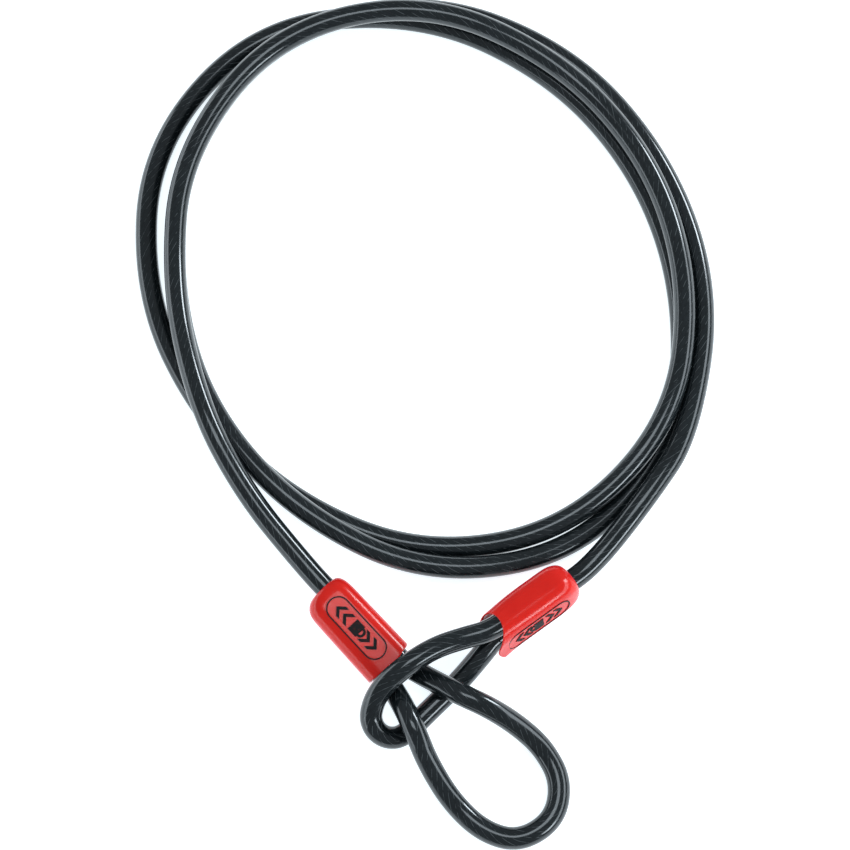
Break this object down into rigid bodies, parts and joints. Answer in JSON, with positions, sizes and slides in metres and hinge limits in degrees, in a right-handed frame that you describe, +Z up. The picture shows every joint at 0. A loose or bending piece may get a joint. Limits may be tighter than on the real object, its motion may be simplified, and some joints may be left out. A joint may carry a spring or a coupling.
{
  "type": "cable lock",
  "caption": "Loosely coiled security cable: plastic-coated steel rope with an eye at each end, each closed by a ferrule under a slip-on boot, one eye passed through the other.",
  "frame": {"origin": "on the floor under the middle of the whole part's box", "axes": "+Z up from the floor, +Y from the eyes towards the far side of the coil, +X to the right"},
  "size_m": [0.2138, 0.3176, 0.0254],
  "materials": {
    "jacket": "glossy smoke-black flexible vinyl",
    "rope": "bright drawn wire",
    "ferrule": "pressed, satin",
    "boot": "soft red vinyl, semi-gloss",
    "boot_mark": "printed ink"
  },
  "bodies": {
    "cable": {"left_lead_jacket": "jacket", "left_lead_rope": "rope", "coil_turn_1_jacket": "jacket", "coil_turn_1_rope": "rope", "coil_turn_2_jacket": "jacket", "coil_turn_2_rope": "rope", "coil_turn_3_jacket": "jacket", "coil_turn_3_rope": "rope", "right_lead_jacket": "jacket", "right_lead_rope": "rope", "left_eye_jacket": "jacket", "left_eye_rope": "rope", "right_eye_jacket": "jacket", "right_eye_rope": "rope", "left_ferrule": "ferrule", "right_ferrule": "ferrule"},
    "left_boot": {"left_boot": "boot", "left_boot_mark": "boot_mark"},
    "right_boot": {"right_boot": "boot", "right_boot_mark": "boot_mark"}
  },
  "joints": [
    {"name": "left_boot_slide", "type": "slide", "parent": "cable", "child": "left_boot", "axis": [-0.6803, 0.7296, 0.0698], "range_m": [0, 0.006]},
    {"name": "right_boot_slide", "type": "slide", "parent": "cable", "child": "right_boot", "axis": [0.8019, 0.5934, -0.0698], "range_m": [0, 0.006]}
  ]
}
